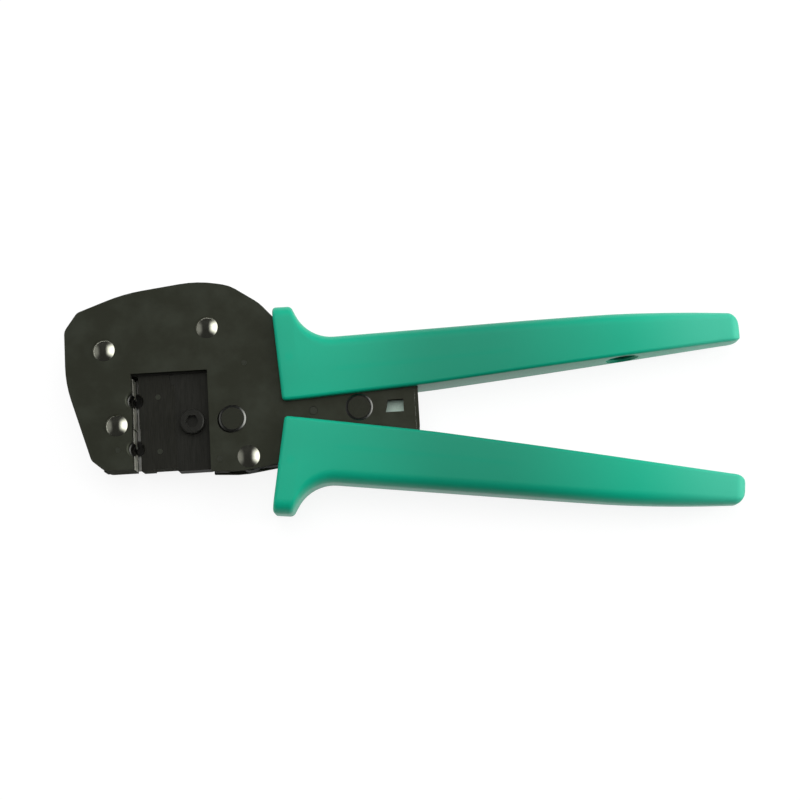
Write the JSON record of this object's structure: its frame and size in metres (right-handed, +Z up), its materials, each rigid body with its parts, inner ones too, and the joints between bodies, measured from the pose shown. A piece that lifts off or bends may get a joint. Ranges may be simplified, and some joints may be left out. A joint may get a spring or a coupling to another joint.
{
  "type": "ratchet hand crimp tool",
  "caption": "Ratchet hand crimp tool with a plate head, a sliding ram with nested dies and two green grips, lying open on its side.",
  "frame": {"origin": "middle of the tool's box, on the plane it lies on", "axes": "+X from the nose to the grip ends, +Y towards the upper grip, +Z up through the side plates"},
  "size_m": [0.2352, 0.0881, 0.018],
  "materials": {
    "blackened_steel": "black oxide, satin",
    "core_steel": "dark, ground",
    "nickel_rivet": "bright nickel",
    "dark_pin": "dark, turned",
    "pin_steel": "turned",
    "green_grip": "satin green moulding",
    "die_steel": "ground tool steel",
    "ram_steel": "black oxide",
    "stop_steel": "plain",
    "black_screw": "black oxide",
    "pawl_steel": "light, plated",
    "spring_wire": "drawn wire"
  },
  "bodies": {
    "frame": {"front_plate": "blackened_steel", "rear_plate": "blackened_steel", "frame_core": "core_steel", "lower_guide": "core_steel", "frame_rivets": "nickel_rivet", "pivot_rivet": "nickel_rivet", "pawl_pin": "dark_pin", "spring_post": "pin_steel", "pawl_spring_pin": "pin_steel", "dowel_pins": "pin_steel", "flush_rivets": "pin_steel", "fixed_lever": "core_steel", "upper_grip": "green_grip", "insulation_anvil": "die_steel", "conductor_anvil": "die_steel", "terminal_stop": "stop_steel", "stop_screw": "pin_steel"},
    "ram": {"ram": "ram_steel", "insulation_punch": "die_steel", "conductor_punch": "die_steel", "punch_pins": "pin_steel", "die_screw": "black_screw"},
    "lever": {"moving_lever": "core_steel", "drive_pin": "dark_pin", "lower_grip": "green_grip", "return_spring": "spring_wire"},
    "pawl": {"ratchet_pawl": "pawl_steel", "pawl_spring": "spring_wire"}
  },
  "joints": [
    {"name": "lever_pivot", "type": "hinge", "parent": "frame", "child": "lever", "pos_m": [-0.05545, -0.01789, 0.009], "axis": [0, 0, 1], "range_deg": [0, 5.7], "stiffness_Nm_per_rad": 1.2, "springref_deg": -22.92, "deforming": ["return_spring"]},
    {"name": "ram_slide", "type": "slide", "parent": "frame", "child": "ram", "axis": [1, 0, 0], "range_m": [-0.00131, 0]},
    {"name": "pawl_pivot", "type": "hinge", "parent": "frame", "child": "pawl", "pos_m": [-0.01675, -0.00314, 0.009], "axis": [0, 0, 1], "range_deg": [-12, 0], "stiffness_Nm_per_rad": 0.05, "springref_deg": 17.19, "deforming": ["pawl_spring"]}
  ],
  "couplings": [
    {"joint": "ram_slide", "follows": "lever_pivot", "m_per_rad": -0.01309}
  ]
}
